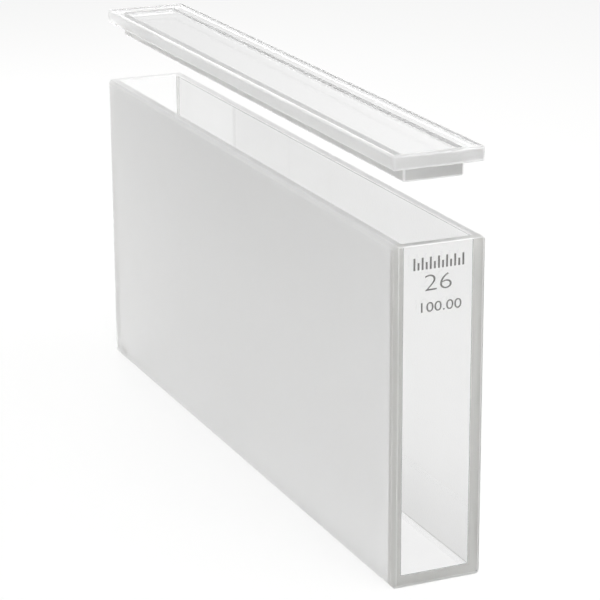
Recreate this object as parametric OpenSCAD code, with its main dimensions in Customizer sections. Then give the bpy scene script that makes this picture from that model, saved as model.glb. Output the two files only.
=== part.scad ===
// Long-path cuvette: a narrow trough of fused plates with a polished window at each end,
// open at the top, and a loose lid whose plug drops into the chamber.
// X runs along the light path, Y across the chamber, Z up. The origin is the centre of the base.

/* [Chamber] */
// Light path: the distance between the inner faces of the two windows
light_path = 100; // [10:1:100]
// Width of the chamber between the long side plates
chamber_w = 9.5; // [5:0.5:20]

/* [Plates] */
// Height of the whole cell, from the underside of its base to its rim
cell_h = 45; // [25:1:60]
// Thickness of each polished end window
window_t = 1.25; // [1.25:0.05:2.5]
// Thickness of each long ground side plate
side_t = 1.5; // [1.25:0.05:2.5]
// Thickness of the base plate
base_t = 1.5; // [1.25:0.05:3]

/* [Ground edges] */
// Leg of the bevel along the upright, long and bottom edges of the cell
arris = 0.5; // [0.1:0.05:0.6]
// Leg of the finer bevel along the top edge of each window
window_top_arris = 0.1; // [0.05:0.05:0.4]
// Leg of the bevel around the inside of the rim
mouth_arris = 0.1; // [0.05:0.05:0.4]
// Leg of the bevel on the edges of the lid plate
lid_arris = 0.25; // [0.1:0.05:0.4]
// Leg of the bevel around the bottom of the plug
plug_arris = 0.15; // [0.05:0.05:0.4]

/* [Lid] */
// Thickness of the lid plate
lid_t = 2; // [1.5:0.1:3]
// How far the lid plate stops short of each end of the cell
lid_end_inset = 0.75; // [0:0.05:1]
// How far the lid plate stops short of each long side of the cell
lid_side_inset = 0; // [0:0.05:0.5]
// Depth of the plug under the lid plate
plug_depth = 1.9; // [1:0.1:4]
// Clearance between the plug and each end window when the lid is on
plug_end_clearance = 1; // [0.2:0.05:1.5]
// Clearance between the plug and each side plate when the lid is on
plug_side_clearance = 0.65; // [0.2:0.05:1.5]
// Height that the lid is lifted off the rim
lid_lift = 9.2; // [5:0.1:40]

/* [Hidden] */

// Outline of the cell, worked out from the chamber and the plates round it
cell_l = light_path + 2 * window_t;
cell_w = chamber_w + 2 * side_t;

// Outline of the lid plate, from the outline of the cell
lid_l = cell_l - 2 * lid_end_inset;
lid_w = cell_w - 2 * lid_side_inset;

// Outline of the plug, from the chamber that it drops into
plug_l = light_path - 2 * plug_end_clearance;
plug_w = chamber_w - 2 * plug_side_clearance;

// Underside of the lid plate, which would sit on the rim
lid_seat_z = cell_h + lid_lift;

quartz = [0.86, 0.88, 0.88, 0.55];
quartz_lid = [0.90, 0.92, 0.92, 0.65];

// Rectangle centred on the origin, its corners cut off at 45 degrees: the lower two by corner,
// the upper two by upper
module cut_rectangle(x, y, corner, upper) {
    polygon([
        [-x / 2 + corner, -y / 2], [x / 2 - corner, -y / 2],
        [x / 2, -y / 2 + corner], [x / 2, y / 2 - upper],
        [x / 2 - upper, y / 2], [-x / 2 + upper, y / 2],
        [-x / 2, y / 2 - upper], [-x / 2, -y / 2 + corner]
    ]);
}

// Block standing on z = 0 with a bevel along all twelve edges: the overlap of three
// extruded outlines, one seen along each axis. The top edges of its two ends have a leg of their own.
module bevelled_block(x, y, z, bevel, end_top) {
    intersection() {
        linear_extrude(z) cut_rectangle(x, y, bevel, bevel);
        translate([0, y / 2, z / 2]) rotate([90, 0, 0]) linear_extrude(y) cut_rectangle(x, z, bevel, end_top);
        translate([-x / 2, 0, z / 2]) rotate([90, 0, 90]) linear_extrude(x) cut_rectangle(y, z, bevel, bevel);
    }
}

// Flare round a rectangular mouth at z = 0: it widens upward by one bevel leg on every side,
// and runs on above the mouth so that it cuts cleanly
module mouth_flare(x, y, bevel) {
    run = bevel + 1;
    intersection() {
        translate([0, y / 2 + run, 0]) rotate([90, 0, 0]) linear_extrude(y + 2 * run)
            polygon([[-x / 2, -bevel], [x / 2, -bevel], [x / 2 + run, run - bevel], [-x / 2 - run, run - bevel]]);
        translate([-x / 2 - run, 0, 0]) rotate([90, 0, 90]) linear_extrude(x + 2 * run)
            polygon([[-y / 2, -bevel], [y / 2, -bevel], [y / 2 + run, run - bevel], [-y / 2 - run, run - bevel]]);
    }
}

// The liquid space, from the base plate up through the rim
module chamber() {
    translate([-light_path / 2, -chamber_w / 2, base_t]) cube([light_path, chamber_w, cell_h]);
    translate([0, 0, cell_h]) mouth_flare(light_path, chamber_w, mouth_arris);
}

// Trough of two side plates, two windows and a base, fused into one piece
module cell() {
    color(quartz)
        difference() {
            bevelled_block(cell_l, cell_w, cell_h, arris, window_top_arris);
            chamber();
        }
}

// Lid plate with the plug fused to its underside
module lid() {
    color(quartz_lid)
        translate([0, 0, lid_seat_z])
            union() {
                bevelled_block(lid_l, lid_w, lid_t, lid_arris, lid_arris);
                translate([0, 0, -plug_depth])
                    bevelled_block(plug_l, plug_w, plug_depth + lid_t / 2, plug_arris, plug_arris);
            }
}

cell();
lid();
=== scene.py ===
# %% [markdown]
# # A long-path cuvette in fused quartz
#
# A cuvette holds a liquid while a beam of light crosses it. This one is long and narrow: the beam goes
# in through a polished window at one end, runs down the whole chamber and leaves through the window at
# the other end. Both windows are clear, and the long sides are ground matt. A loose lid hovers over it.
#
# The solids come from the CAD frame at their real size. This script sets up a plain studio and gives
# the solids the finish of real quartz: which faces are polished, which are ground, how the edges are
# eased, how cloudy the fused joints are and what is marked on the glass.

import math

import bmesh
import bpy
from mathutils import Matrix, Vector


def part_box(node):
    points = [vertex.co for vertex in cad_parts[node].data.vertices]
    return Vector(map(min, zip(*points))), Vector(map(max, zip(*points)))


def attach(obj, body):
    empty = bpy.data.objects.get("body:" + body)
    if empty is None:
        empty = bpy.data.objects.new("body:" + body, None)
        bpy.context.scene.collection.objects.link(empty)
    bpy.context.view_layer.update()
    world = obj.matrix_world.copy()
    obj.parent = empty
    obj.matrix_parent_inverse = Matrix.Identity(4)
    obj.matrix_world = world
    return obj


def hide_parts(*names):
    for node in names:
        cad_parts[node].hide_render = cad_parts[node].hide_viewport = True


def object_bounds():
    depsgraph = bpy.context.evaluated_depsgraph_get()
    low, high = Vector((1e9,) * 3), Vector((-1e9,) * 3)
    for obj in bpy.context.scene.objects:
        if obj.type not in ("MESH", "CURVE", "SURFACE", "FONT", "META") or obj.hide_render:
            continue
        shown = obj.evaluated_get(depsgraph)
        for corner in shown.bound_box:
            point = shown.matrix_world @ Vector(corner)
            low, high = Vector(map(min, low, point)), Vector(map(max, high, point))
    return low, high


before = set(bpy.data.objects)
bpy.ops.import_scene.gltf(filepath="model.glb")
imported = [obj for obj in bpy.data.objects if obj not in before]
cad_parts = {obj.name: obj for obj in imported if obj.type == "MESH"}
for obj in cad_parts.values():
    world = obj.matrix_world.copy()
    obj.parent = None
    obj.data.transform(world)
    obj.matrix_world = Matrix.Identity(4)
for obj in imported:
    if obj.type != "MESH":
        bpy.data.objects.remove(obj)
cad_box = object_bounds()
MM = 0.001
box_mm = [round(side / MM, 2) for side in cad_box[1] - cad_box[0]]
print("frame:", sorted(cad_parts), "box in mm:", box_mm)

# %% [markdown]
# ## Small helpers
#
# Colours are written the way a colour picker shows them, as hex, and turned into the linear values
# that a renderer adds up. A second helper adds one shader node with its settings and its links, so
# that every material below reads as a short list of nodes. Two more make a sum and an empty material.


# %% Colour and node helpers
def linear(hex_colour):
    """The linear RGBA of an sRGB hex colour such as 'f2f2f0'."""
    parts = [int(hex_colour[i : i + 2], 16) / 255 for i in (0, 2, 4)]
    return [p / 12.92 if p <= 0.04045 else ((p + 0.055) / 1.055) ** 2.4 for p in parts] + [1.0]


def add_node(tree, kind, settings=None, **inputs):
    """Adds a node. settings are its own properties; inputs are socket values, or sockets to link from."""
    node = tree.nodes.new(kind)
    for name, value in (settings or {}).items():
        setattr(node, name, value)
    for name, value in inputs.items():
        socket = node.inputs[int(name[1:])] if name[1:].isdigit() else node.inputs[name.replace("_", " ")]
        if isinstance(value, bpy.types.NodeSocket):
            tree.links.new(value, socket)
        else:
            socket.default_value = value
    return node


def combine(tree, operation, first, second):
    """The result of one sum on two sockets or numbers."""
    return add_node(tree, "ShaderNodeMath", {"operation": operation}, _0=first, _1=second).outputs[0]


def new_material(name):
    """An empty node material and its tree."""
    material = bpy.data.materials.new(name)
    material.use_nodes = True
    material.node_tree.nodes.clear()
    return material, material.node_tree


print("mid grey 808080 is", [round(part, 3) for part in linear("808080")], "in linear light")

# %% [markdown]
# ## Camera
#
# The cell is seen from a little above, from the end with the marked window, from a third of a metre
# away with a long lens. The far end looks about three quarters as large as the near one.

# %% Camera
CAMERA_AZIMUTH = 66.2
CAMERA_ELEVATION = 17.7
CAMERA_ROLL = -0.26
CAMERA_DISTANCE = 0.346
CAMERA_AIM = Vector((2.8, 2.6, 23.2)) * MM
CAMERA_LENS = 146.7
CAMERA_NEAREST = 0.01
CAMERA_FURTHEST = 20


def make_camera():
    """A camera that looks at CAMERA_AIM from the azimuth and elevation above."""
    turn, lift = math.radians(CAMERA_AZIMUTH), math.radians(CAMERA_ELEVATION)
    back = Vector((math.sin(turn) * math.cos(lift), -math.cos(turn) * math.cos(lift), math.sin(lift)))
    data = bpy.data.cameras.new("camera")
    data.lens = CAMERA_LENS
    data.clip_start, data.clip_end = CAMERA_NEAREST, CAMERA_FURTHEST
    camera = bpy.data.objects.new("camera", data)
    aimed = (-back).to_track_quat("-Z", "Y").to_matrix().to_4x4()
    camera.matrix_world = (
        Matrix.Translation(CAMERA_AIM + back * CAMERA_DISTANCE)
        @ aimed
        @ Matrix.Rotation(math.radians(CAMERA_ROLL), 4, "Z")
    )
    bpy.context.scene.collection.objects.link(camera)
    bpy.context.scene.camera = camera
    return camera


camera = make_camera()
print("camera at", [round(c / MM, 1) for c in camera.matrix_world.translation], "mm")

# %% [markdown]
# ## Studio
#
# Clear glass has no look of its own: it shows what stands round it, and a matt side only gets its
# shading when some of that is dark. So the room has nine soft glows low down. They overlap into a
# band that is brighter than the white of the backdrop a little more than half of the way round. It is
# weaker beyond the far end, and has one dark gap, in front of the near end. The ceiling is dark.
#
# The camera itself sees a plain white wall. That white goes to camera rays alone and not to rays that
# pass through the glass or are mirrored in it: they see the glows. If they saw white on every side,
# the ground faces would be as white as the wall and the cell would have no form at all.
#
# The room is one formula on the direction of the ray, so there are no panels to place.

# %% The room
GLOW_FULL = 0.94
# Where each glow is, as a heading in degrees from straight behind the cell, and how strong it is.
ROOM_GLOWS = {
    "behind": (0, GLOW_FULL),
    "behind, a little to the near end": (30, 0.564),
    "behind the near end": (60, GLOW_FULL),
    "beyond the near end": (90, GLOW_FULL),
    "behind, a little to the far end": (330, GLOW_FULL),
    "behind the far end": (300, 0.291),
    "beyond the far end": (270, 0.517),
    "in front": (180, GLOW_FULL),
    "in front, a little to the far end": (210, GLOW_FULL),
}
GLOW_HEIGHT = 8
GLOW_CORE = 5
GLOW_SPREAD = 40

scene = bpy.context.scene
scene.view_settings.view_transform = "Standard"


def soft_step(tree, value, start, end, low, high):
    """A smooth change from low to high while value goes from start to end."""
    step = add_node(
        tree,
        "ShaderNodeMapRange",
        {"interpolation_type": "SMOOTHSTEP"},
        Value=value,
        From_Min=start,
        From_Max=end,
        To_Min=low,
        To_Max=high,
    )
    return step.outputs["Result"]


def glow_patch(tree, direction, heading, strength):
    """A round glow, fading out at GLOW_SPREAD degrees. Heading 90 is beyond the near end."""
    turn, lift = math.radians(heading), math.radians(GLOW_HEIGHT)
    middle = Vector((math.sin(turn) * math.cos(lift), math.cos(turn) * math.cos(lift), math.sin(lift)))
    nearness = add_node(tree, "ShaderNodeVectorMath", {"operation": "DOT_PRODUCT"}, _0=direction, _1=middle)
    edge, core = math.cos(math.radians(GLOW_SPREAD)), math.cos(math.radians(GLOW_CORE))
    return soft_step(tree, nearness.outputs["Value"], edge, core, 0.0, strength)


def make_room():
    """The world: white to the camera, and dark with soft glows to every other ray."""
    world = bpy.data.worlds.new("studio")
    world.use_nodes = True
    tree = world.node_tree
    tree.nodes.clear()
    direction = add_node(tree, "ShaderNodeTexCoord").outputs["Generated"]
    light = 0.0
    for heading, strength in ROOM_GLOWS.values():
        patch = glow_patch(tree, direction, heading, strength)
        light = combine(tree, "ADD", patch, light)
    room = add_node(tree, "ShaderNodeBackground", Color=linear("ffffff"), Strength=light)
    white = add_node(tree, "ShaderNodeBackground", Color=linear("ffffff"), Strength=1.0)
    seen = add_node(tree, "ShaderNodeLightPath").outputs["Is Camera Ray"]
    mixed = add_node(tree, "ShaderNodeMixShader", _0=seen, _1=room.outputs[0], _2=white.outputs[0])
    add_node(tree, "ShaderNodeOutputWorld", Surface=mixed.outputs[0])
    scene.world = world
    return world


print("room:", len(make_room().node_tree.nodes), "nodes")

# %% [markdown]
# ## Floor
#
# The cell stands on a sheet of white paper, much wider than the view. To the light the paper is plain
# and matt, so it takes the cell's shadow. To the eye, straight or through the glass, most of it is
# replaced by an even white glow, which keeps the backdrop white without more light on the object.
#
# Seen through the glass or mirrored in it, the glow isn't even. It fades out in front of the cell, a
# painted shade like that of people standing there, and it is a little weaker in a narrow band behind the
# long side, a painted shadow of the cell on the paper.

# %% The paper floor
FLOOR_SIDE = 6.0
FLOOR_GAP_MM = 0.02
PAPER_COLOUR = "f4f4f2"
PAPER_GLOW_SHARE = 0.85
FRONT_DARK_MM = -140
FRONT_LIT_MM = -60
PAINTED_SHADOW_STARTS_MM = 4
PAINTED_SHADOW_DEEPEST_MM = 8
PAINTED_SHADOW_ENDS_MM = 30
PAINTED_SHADOW_DEPTH = 0.2


def paper_glow(tree, by_camera):
    """How strongly the paper glows: fully to the camera; to the glass less in front and in a band behind,
    both painted shade.
    """
    place = add_node(tree, "ShaderNodeTexCoord").outputs["Object"]
    back = add_node(tree, "ShaderNodeSeparateXYZ", Vector=place).outputs["Y"]
    # Painted shade: the glow fades out in front, and a painted shadow of the cell weakens it in a band
    # behind.
    front = soft_step(tree, back, FRONT_DARK_MM * MM, FRONT_LIT_MM * MM, 0.0, 1.0)
    rise = soft_step(tree, back, PAINTED_SHADOW_STARTS_MM * MM, PAINTED_SHADOW_DEEPEST_MM * MM, 0.0, PAINTED_SHADOW_DEPTH)
    fall = soft_step(tree, back, PAINTED_SHADOW_DEEPEST_MM * MM, PAINTED_SHADOW_ENDS_MM * MM, 1.0, 0.0)
    painted_shade_glow = combine(tree, "SUBTRACT", front, combine(tree, "MULTIPLY", rise, fall))
    return combine(tree, "MAXIMUM", by_camera, painted_shade_glow)


def white_paper():
    """Matt white paper. To camera, glossy and transmission rays a glow replaces most of it."""
    material, tree = new_material("white_paper")
    path = add_node(tree, "ShaderNodeLightPath").outputs
    seen = combine(tree, "MAXIMUM", path["Is Camera Ray"], path["Is Glossy Ray"])
    seen = combine(tree, "MAXIMUM", seen, path["Is Transmission Ray"])
    share = combine(tree, "MULTIPLY", seen, PAPER_GLOW_SHARE)
    strength = paper_glow(tree, path["Is Camera Ray"])
    paper = add_node(tree, "ShaderNodeBsdfDiffuse", Color=linear(PAPER_COLOUR))
    glow = add_node(tree, "ShaderNodeEmission", Color=linear("ffffff"), Strength=strength)
    mixed = add_node(tree, "ShaderNodeMixShader", _0=share, _1=paper.outputs[0], _2=glow.outputs[0])
    add_node(tree, "ShaderNodeOutputMaterial", Surface=mixed.outputs[0])
    return material


def make_floor():
    """A square sheet of the paper just under the base."""
    mesh = bpy.data.meshes.new("floor")
    half = FLOOR_SIDE / 2
    corners = [(-half, -half), (half, -half), (half, half), (-half, half)]
    mesh.from_pydata([(x, y, -FLOOR_GAP_MM * MM) for x, y in corners], [], [(0, 1, 2, 3)])
    floor = bpy.data.objects.new("floor", mesh)
    scene.collection.objects.link(floor)
    mesh.materials.append(white_paper())
    return floor


print("floor:", [round(side, 2) for side in make_floor().dimensions], "m")

# %% [markdown]
# ## Lamps
#
# Three large soft lamps hang where a photographer would put softboxes: one high beyond each end, and a
# larger one high behind the near end. They lighten all of the object a little, and most of all the
# ground edges of the lid, the bevels and the fused joints. They hang high, so that none of them stands
# in line with the cell when it is seen from its own height.

# %% Three softboxes
LAMP_AIM_MM = Vector((0, 0, 30))
SOFTBOXES = {
    "far_end": (Vector((-220, 0, 220)), 160, 0.583),
    "near_end": (Vector((220, 0, 220)), 160, 0.479),
    "behind": (Vector((120, 150, 220)), 300, 0.461),
}


def softbox(name, place_mm, side_mm, watts):
    """A square area lamp at place_mm, turned towards the object and unseen by the camera."""
    data = bpy.data.lights.new(name, "AREA")
    data.size = side_mm * MM
    data.energy = watts
    lamp = bpy.data.objects.new(name, data)
    aimed = (LAMP_AIM_MM - place_mm).to_track_quat("-Z", "Y").to_matrix().to_4x4()
    lamp.matrix_world = Matrix.Translation(place_mm * MM) @ aimed
    lamp.visible_camera = False
    scene.collection.objects.link(lamp)
    return lamp


for name, (place_mm, side_mm, watts) in SOFTBOXES.items():
    softbox(name, place_mm, side_mm, watts)
    print("softbox", name, "of", watts, "W")

# %% [markdown]
# ## Light that bounces many times
#
# Inside a plate of quartz, light runs from face to face as in a light guide before it leaves at an
# edge. With a limit of twelve bounces some edges of the lid come out slightly darker, so the limits
# are raised.

# %% Bounces
GLASS_BOUNCES = 32
MATT_BOUNCES = 8
scene.cycles.max_bounces = GLASS_BOUNCES
scene.cycles.transmission_bounces = GLASS_BOUNCES
scene.cycles.glossy_bounces = GLASS_BOUNCES
scene.cycles.diffuse_bounces = MATT_BOUNCES
print("bounces through glass:", GLASS_BOUNCES)

# %% [markdown]
# ## Quartz
#
# Every piece is fused quartz: colourless, with an index of refraction of 1.458, and free of the green
# tint of window glass. A glass worker leaves it in six finishes.
#
# - Polished: the windows, the inside of the chamber, the underside and the large faces of the lid.
#   Optically smooth, so it is drawn as clear glass without roughness.
# - Ground: the long sides and the flat edges of the lid, lapped matt with fine grit. Light passes, but
#   is scattered widely. A faint cloudiness and a relief of fine grit lie in the surface.
# - Lapped: the bevels and the top of the rim. They are as matt as the sides, but too narrow to show
#   any grit.
# - Sawn: the sides of the plug, as the diamond saw left them, a little rougher than the lapped faces. Their
#   grey is painted shade from the plate above.
# - Eased: the narrow rounding where two faces meet, smoothed by hand. A part of the light turns back
#   white there, so it catches the thin bright line that runs along every edge.
# - Seam: the threads in the inner corners of the chamber, which went slightly cloudy in the heat.

# %% The six finishes
QUARTZ_IOR = 1.458
CLEAR = "ffffff"
MATT_ROUGHNESS = 0.5
EASED_CLEAR_SHARE = 0.8
SAWN_ROUGHNESS = 0.55
# The grey of the sawn sides is painted shade from the plate above them.
SAWN_PAINTED_SHADE_COLOUR = "c8c8c6"
SEAM_COLOUR = "a8a8a6"
MOTTLE_MM = 4.0
MOTTLE_DETAIL = 2.0
MOTTLE_COLOUR = "fbfbfa"
GRIT_MM = 0.3
GRIT_DETAIL = 1.0
GRIT_DEPTH_MM = 0.01


def quartz_material(name, roughness, clear_share=1.0, colour=CLEAR):
    """Fused quartz with one roughness; clear_share of the light goes through, the rest turns back white."""
    material, tree = new_material(name)
    quartz = add_node(
        tree,
        "ShaderNodeBsdfPrincipled",
        Base_Color=linear(colour),
        Roughness=roughness,
        IOR=QUARTZ_IOR,
        Transmission_Weight=clear_share,
    )
    add_node(tree, "ShaderNodeOutputMaterial", Surface=quartz.outputs[0])
    return material


def ground_quartz():
    """Quartz lapped with fine grit: the plain matt, with a faint cloudiness and the grit in relief."""
    material = quartz_material("ground_quartz", MATT_ROUGHNESS)
    tree = material.node_tree
    quartz = tree.nodes["Principled BSDF"]
    place = add_node(tree, "ShaderNodeTexCoord").outputs["Object"]
    clouds = add_node(
        tree, "ShaderNodeTexNoise", Vector=place, Scale=1 / (MOTTLE_MM * MM), Detail=MOTTLE_DETAIL
    )
    cloudy = add_node(
        tree,
        "ShaderNodeMix",
        {"data_type": "RGBA"},
        _0=clouds.outputs[0],
        _6=linear(CLEAR),
        _7=linear(MOTTLE_COLOUR),
    )
    tree.links.new(cloudy.outputs[2], quartz.inputs["Base Color"])
    # Real grit marks are about 0.02 mm wide. They are drawn at GRIT_MM, so that they show at all.
    grit = add_node(tree, "ShaderNodeTexNoise", Vector=place, Scale=1 / (GRIT_MM * MM), Detail=GRIT_DETAIL)
    relief = add_node(
        tree, "ShaderNodeBump", Height=grit.outputs[0], Distance=GRIT_DEPTH_MM * MM, Strength=1.0
    )
    tree.links.new(relief.outputs[0], quartz.inputs["Normal"])
    return material


# The place of each finish in the list below, which is also its slot in the mesh.
POLISHED, GROUND, EASED, SAWN, LAPPED, SEAM = range(6)
finishes = [
    quartz_material("polished_quartz", 0.0),
    ground_quartz(),
    quartz_material("eased_quartz", MATT_ROUGHNESS, EASED_CLEAR_SHARE),
    quartz_material("sawn_quartz_with_painted_shade", SAWN_ROUGHNESS, colour=SAWN_PAINTED_SHADE_COLOUR),
    quartz_material("bevel_quartz", MATT_ROUGHNESS),
    quartz_material("seam_quartz", MATT_ROUGHNESS, colour=SEAM_COLOUR),
]
print("finishes:", [material.name for material in finishes])

# %% [markdown]
# ## The cell and the lid
#
# The CAD solids already have the right plates, bevels and flared mouth. What they lack is the finish of
# each face and the slight rounding where the faces meet. Each is copied and its loose triangles are
# merged into whole flat faces. Then every face gets its finish by where it lies and which way it looks,
# and a Bevel modifier rounds the edges by a tenth of a millimetre. The rounding has the eased finish,
# and in the inner corners of the chamber the finish of the seam.

# %% A quartz piece from a CAD solid
EASE_MM = 0.1
EASE_STEPS = 2
EASE_FROM_DEGREES = 20
FLAT_WITHIN_DEGREES = 1
WELD_MM = 0.001
LIGHT_PATH_MM = 100.0
CHAMBER_WIDE_MM = 9.5
SEAM_MM = 0.05
SKIN_MM = 0.6
cell_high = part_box("cell")[1]


def baked(source, name):
    """A plain mesh object from the evaluated source, which is then removed."""
    graph = bpy.context.evaluated_depsgraph_get()
    mesh = bpy.data.meshes.new_from_object(
        source.evaluated_get(graph), preserve_all_data_layers=True, depsgraph=graph
    )
    bpy.data.objects.remove(source)
    piece = bpy.data.objects.new(name, mesh)
    scene.collection.objects.link(piece)
    return piece


def in_chamber(point):
    """Whether a point on the surface lies on the walls of the chamber, below its mouth."""
    along = abs(point.x) < (LIGHT_PATH_MM / 2 + SEAM_MM) * MM
    across = abs(point.y) < (CHAMBER_WIDE_MM / 2 + SEAM_MM) * MM
    return along and across and point.z < cell_high.z - SKIN_MM * MM


def quartz_piece(name, node, finish_of):
    """A copy of a CAD node as one clean solid, each flat face with the finish that finish_of gives it."""
    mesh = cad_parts[node].data.copy()
    mesh.name = name
    mesh.materials.clear()
    for material in finishes:
        mesh.materials.append(material)
    shape = bmesh.new()
    shape.from_mesh(mesh)
    bmesh.ops.remove_doubles(shape, verts=shape.verts, dist=WELD_MM * MM)
    bmesh.ops.dissolve_limit(
        shape, angle_limit=math.radians(FLAT_WITHIN_DEGREES), verts=shape.verts, edges=shape.edges
    )
    bmesh.ops.recalc_face_normals(shape, faces=shape.faces)
    for face in shape.faces:
        face.smooth = False
        face.material_index = finish_of(face)
    shape.to_mesh(mesh)
    shape.free()
    maker = bpy.data.objects.new(name + "_maker", mesh)
    scene.collection.objects.link(maker)
    easing = maker.modifiers.new("eased_edges", "BEVEL")
    easing.width = EASE_MM * MM
    easing.segments = EASE_STEPS
    easing.limit_method = "ANGLE"
    easing.angle_limit = math.radians(EASE_FROM_DEGREES)
    easing.material = EASED
    piece = baked(maker, name)
    for face in piece.data.polygons:
        face.use_smooth = face.material_index == EASED
        if face.use_smooth and in_chamber(face.center):
            face.material_index = SEAM
    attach(piece, "root")
    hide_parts(node)
    print(name, len(mesh.polygons), "flat faces")
    return piece


# %% Which face has which finish
SQUARE_ON = 0.99
LID_PLATE_MM = 2.0
lid_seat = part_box("lid")[1].z - LID_PLATE_MM * MM


def cell_finish(face):
    """Long sides ground, windows' edges too; bevels and rim lapped; every other face polished."""
    centre = face.calc_center_median()
    faces_x, faces_y, faces_z = [abs(part) > SQUARE_ON for part in face.normal]
    if not (faces_x or faces_y or faces_z):
        return LAPPED
    if faces_z and centre.z > cell_high.z - SKIN_MM * MM:
        return LAPPED
    if faces_y and abs(centre.y) > cell_high.y - SKIN_MM * MM:
        return GROUND
    return POLISHED


def lid_finish(face):
    """Large faces polished, sides of the plug sawn, flat edges of the plate ground, bevels lapped."""
    if abs(face.normal.z) > SQUARE_ON:
        return POLISHED
    if face.calc_center_median().z < lid_seat:
        return SAWN
    return GROUND if max(abs(part) for part in face.normal) > SQUARE_ON else LAPPED


cell = quartz_piece("cell_glass", "cell", cell_finish)
lid = quartz_piece("lid_glass", "lid", lid_finish)

# %% [markdown]
# ## The fused joints
#
# The windows are fused onto the ends of the two side plates and the base. Those ends were sawn and
# lapped before they were fused, so each joint stays a little cloudy. Seen through the clear window it is
# an even grey frame round the chamber. Each joint is drawn as a very thin U-shaped sheet in the glass.
# With no sheet there, the light that runs along inside the plates shows in the frame as streaks. The
# sheet is a mix of matt, shining through and clear. A sheet of rough glass looks nearly the same.

# %% Two joints
JOINT_COLOUR = "e8e8e6"
JOINT_THROUGH_SHARE = 0.5
NEAR_CLEAR_SHARE = 0.0
FAR_CLEAR_SHARE = 0.75
JOINT_THICK_MM = 0.02
JOINT_GAP_MM = 0.02
BEVEL_MM = 0.5
BASE_MM = 1.5


def mix(tree, share, first, second):
    """The output of two shaders mixed; share is how much of the second."""
    return add_node(tree, "ShaderNodeMixShader", _0=share, _1=first, _2=second).outputs[0]


def cloudy_joint(name, clear_share):
    """Lapped glass fused to glass: matt and pale grey, with clear_share of it fused perfectly clear."""
    material, tree = new_material(name)
    back = add_node(tree, "ShaderNodeBsdfDiffuse", Color=linear(JOINT_COLOUR)).outputs[0]
    through = add_node(tree, "ShaderNodeBsdfTranslucent", Color=linear(JOINT_COLOUR)).outputs[0]
    clear = add_node(tree, "ShaderNodeBsdfTransparent").outputs[0]
    cloudy = mix(tree, JOINT_THROUGH_SHARE, back, through)
    add_node(tree, "ShaderNodeOutputMaterial", Surface=mix(tree, clear_share, cloudy, clear))
    return material


def joint_outline():
    """The corners of the U in mm, as (across, up), just inside the faces of the plates and the base."""
    wide = cell_high.y / MM - JOINT_GAP_MM
    high = cell_high.z / MM - JOINT_GAP_MM
    wall = CHAMBER_WIDE_MM / 2 + JOINT_GAP_MM
    floor = BASE_MM - JOINT_GAP_MM
    half = [
        (0, JOINT_GAP_MM),
        (wide - BEVEL_MM, JOINT_GAP_MM),
        (wide, BEVEL_MM),
        (wide, high - BEVEL_MM),
        (wide - BEVEL_MM, high),
        (wall, high),
        (wall, floor),
        (0, floor),
    ]
    return half + [(-y, z) for y, z in half[-2:0:-1]]


def joint_sheet(name, x_mm, material):
    """A thin U across the two side plates and the base, just inside the glass, at x_mm."""
    shape = bmesh.new()
    corners = [shape.verts.new(Vector((x_mm, y, z)) * MM) for y, z in joint_outline()]
    sheet = shape.faces.new(corners)
    made = bmesh.ops.extrude_face_region(shape, geom=[sheet])["geom"]
    moved = [part for part in made if isinstance(part, bmesh.types.BMVert)]
    bmesh.ops.translate(shape, verts=moved, vec=(JOINT_THICK_MM * MM, 0, 0))
    bmesh.ops.recalc_face_normals(shape, faces=shape.faces)
    mesh = bpy.data.meshes.new(name)
    shape.to_mesh(mesh)
    shape.free()
    mesh.materials.append(material)
    piece = bpy.data.objects.new(name, mesh)
    scene.collection.objects.link(piece)
    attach(piece, "root")
    print(name, len(mesh.polygons), "faces")


near_joint = cloudy_joint("cloudy_joint", NEAR_CLEAR_SHARE)
far_joint = cloudy_joint("clearer_joint", FAR_CLEAR_SHARE)
joint_sheet("near_joint", LIGHT_PATH_MM / 2, near_joint)
joint_sheet("far_joint", -LIGHT_PATH_MM / 2 - JOINT_THICK_MM, far_joint)

# %% [markdown]
# ## The mark on the window
#
# Such a cell carries a small mark near the top of one window: here a length in millimetres and a number
# that pairs it with its twin. It is drawn as thin grey enamel, a few hundredths of a millimetre under
# the face of the glass. The numbers are text turned to mesh. The row of ticks above them repeats, so
# Geometry Nodes make it: a line of points, one bar on each, every second bar shorter.

# %% Enamel
ENAMEL_COLOUR = "80807e"
ENAMEL_ROUGHNESS = 0.6
ENAMEL_IOR = 1.5
MARK_DEPTH_MM = 0.03
MARK_THICK_MM = 0.01


def grey_enamel():
    """Fired grey enamel in the etched mark: matt and opaque."""
    material, tree = new_material("grey_enamel")
    fired = add_node(
        tree,
        "ShaderNodeBsdfPrincipled",
        Base_Color=linear(ENAMEL_COLOUR),
        Roughness=ENAMEL_ROUGHNESS,
        IOR=ENAMEL_IOR,
    )
    add_node(tree, "ShaderNodeOutputMaterial", Surface=fired.outputs[0])
    return material


enamel = grey_enamel()
print("enamel:", enamel.name, ENAMEL_COLOUR)

# %% Ticks made by Geometry Nodes
TICK_COUNT = 13
TICK_ROW_MM = 6.65
TICK_WIDE_MM = 0.26
TICK_LONG_MM = 1.55
TICK_SHORT_SHARE = 0.6


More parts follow.
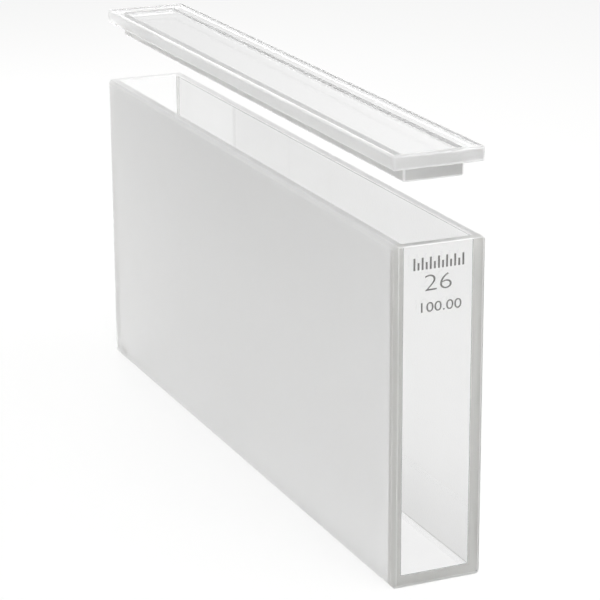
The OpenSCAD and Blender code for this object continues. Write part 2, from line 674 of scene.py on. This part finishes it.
def tick_tree():
    """A node group that sets upright bars along a row, every second one shorter, standing on one line."""
    group = bpy.data.node_groups.new("tick_row", "GeometryNodeTree")
    for name, kind in (
        ("Count", "NodeSocketInt"),
        ("Row", "NodeSocketFloat"),
        ("Width", "NodeSocketFloat"),
        ("Length", "NodeSocketFloat"),
        ("Short Share", "NodeSocketFloat"),
        ("Thickness", "NodeSocketFloat"),
        ("Enamel", "NodeSocketMaterial"),
    ):
        group.interface.new_socket(name, in_out="INPUT", socket_type=kind)
    group.interface.new_socket("Mesh", in_out="OUTPUT", socket_type="NodeSocketGeometry")
    sizes = add_node(group, "NodeGroupInput").outputs
    half = combine(group, "MULTIPLY", sizes["Row"], 0.5)
    first = add_node(group, "ShaderNodeCombineXYZ", X=combine(group, "MULTIPLY", half, -1.0))
    last = add_node(group, "ShaderNodeCombineXYZ", X=half)
    row = add_node(
        group,
        "GeometryNodeMeshLine",
        {"mode": "END_POINTS"},
        Count=sizes["Count"],
        Start_Location=first.outputs[0],
        Offset=last.outputs[0],
    )
    bar_size = add_node(
        group, "ShaderNodeCombineXYZ", X=sizes["Width"], Y=sizes["Length"], Z=sizes["Thickness"]
    )
    bar = add_node(group, "GeometryNodeMeshCube", Size=bar_size.outputs[0])
    lift = add_node(group, "ShaderNodeCombineXYZ", Y=combine(group, "MULTIPLY", sizes["Length"], 0.5))
    standing = add_node(
        group, "GeometryNodeTransform", Geometry=bar.outputs[0], Translation=lift.outputs[0]
    )
    index = add_node(group, "GeometryNodeInputIndex").outputs[0]
    odd = combine(group, "MODULO", index, 2.0)
    share = add_node(group, "ShaderNodeMapRange", Value=odd, To_Min=1.0, To_Max=sizes["Short Share"])
    scale = add_node(group, "ShaderNodeCombineXYZ", X=1.0, Y=share.outputs[0], Z=1.0)
    bars = add_node(
        group,
        "GeometryNodeInstanceOnPoints",
        Points=row.outputs[0],
        Instance=standing.outputs[0],
        Scale=scale.outputs[0],
    )
    solid = add_node(group, "GeometryNodeRealizeInstances", Geometry=bars.outputs[0])
    painted = add_node(
        group, "GeometryNodeSetMaterial", Geometry=solid.outputs[0], Material=sizes["Enamel"]
    )
    add_node(group, "NodeGroupOutput", _0=painted.outputs[0])
    return group


def set_input(modifier, name, value):
    """Sets a named input of a Geometry Nodes modifier by the socket's identifier."""
    for item in modifier.node_group.interface.items_tree:
        if item.item_type == "SOCKET" and item.in_out == "INPUT" and item.name == name:
            modifier[item.identifier] = value


def tick_row():
    """The row of ticks as a plain mesh, centred on the origin and standing on y = 0."""
    maker = bpy.data.objects.new("tick_maker", bpy.data.meshes.new("tick_maker"))
    scene.collection.objects.link(maker)
    modifier = maker.modifiers.new("ticks", "NODES")
    modifier.node_group = tick_tree()
    for name, value in (
        ("Count", TICK_COUNT),
        ("Row", TICK_ROW_MM * MM),
        ("Width", TICK_WIDE_MM * MM),
        ("Length", TICK_LONG_MM * MM),
        ("Short Share", TICK_SHORT_SHARE),
        ("Thickness", MARK_THICK_MM * MM),
        ("Enamel", enamel),
    ):
        set_input(modifier, name, value)
    bpy.context.view_layer.update()
    return baked(maker, "window_ticks")


# %% Numbers, and the mark set into the window
CAPITAL_SHARE = 0.73
# Turns a mark that lies flat so that it stands upright and reads from outside the near window.
MARK_SPIN = Matrix(((0, 0, 1, 0), (1, 0, 0, 0), (0, 1, 0, 0), (0, 0, 0, 1)))


def number(name, text, height_mm, bold_mm, wide):
    """Text as a thin solid mesh, wide times its plain width, centred on the origin, standing on y = 0."""
    curve = bpy.data.curves.new(name, "FONT")
    curve.body = text
    curve.align_x = "CENTER"
    curve.size = height_mm / CAPITAL_SHARE * MM
    curve.offset = bold_mm * MM
    curve.extrude = MARK_THICK_MM / 2 * MM
    curve.materials.append(enamel)
    maker = bpy.data.objects.new(name + "_maker", curve)
    scene.collection.objects.link(maker)
    bpy.context.view_layer.update()
    piece = baked(maker, name)
    piece.data.transform(Matrix.Diagonal((wide, 1, 1, 1)))
    return piece


def etch(piece, foot_mm, aside_mm):
    """Stands a mark upright in the near window, its foot at foot_mm and aside_mm off its middle."""
    place = Vector((cell_high.x - MARK_DEPTH_MM * MM, aside_mm * MM, foot_mm * MM))
    piece.data.transform(Matrix.Translation(place) @ MARK_SPIN)
    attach(piece, "root")
    print(piece.name, len(piece.data.polygons), "faces at z =", foot_mm, "mm")


etch(tick_row(), foot_mm=41.75, aside_mm=-0.3)
pair_number = number("window_pair_number", "26", height_mm=2.2, bold_mm=-0.05, wide=1.35)
etch(pair_number, foot_mm=39.0, aside_mm=-0.35)
length_number = number("window_length_number", "100.00", height_mm=1.3, bold_mm=0.0, wide=1.25)
etch(length_number, foot_mm=36.3, aside_mm=-0.1)

# %% [markdown]
# ## Size
#
# The dressed part fills exactly the box of its CAD solids. The box of the CAD solids is printed.

# %% Size
print("CAD box", [round(c / MM, 3) for corner in cad_box for c in corner])
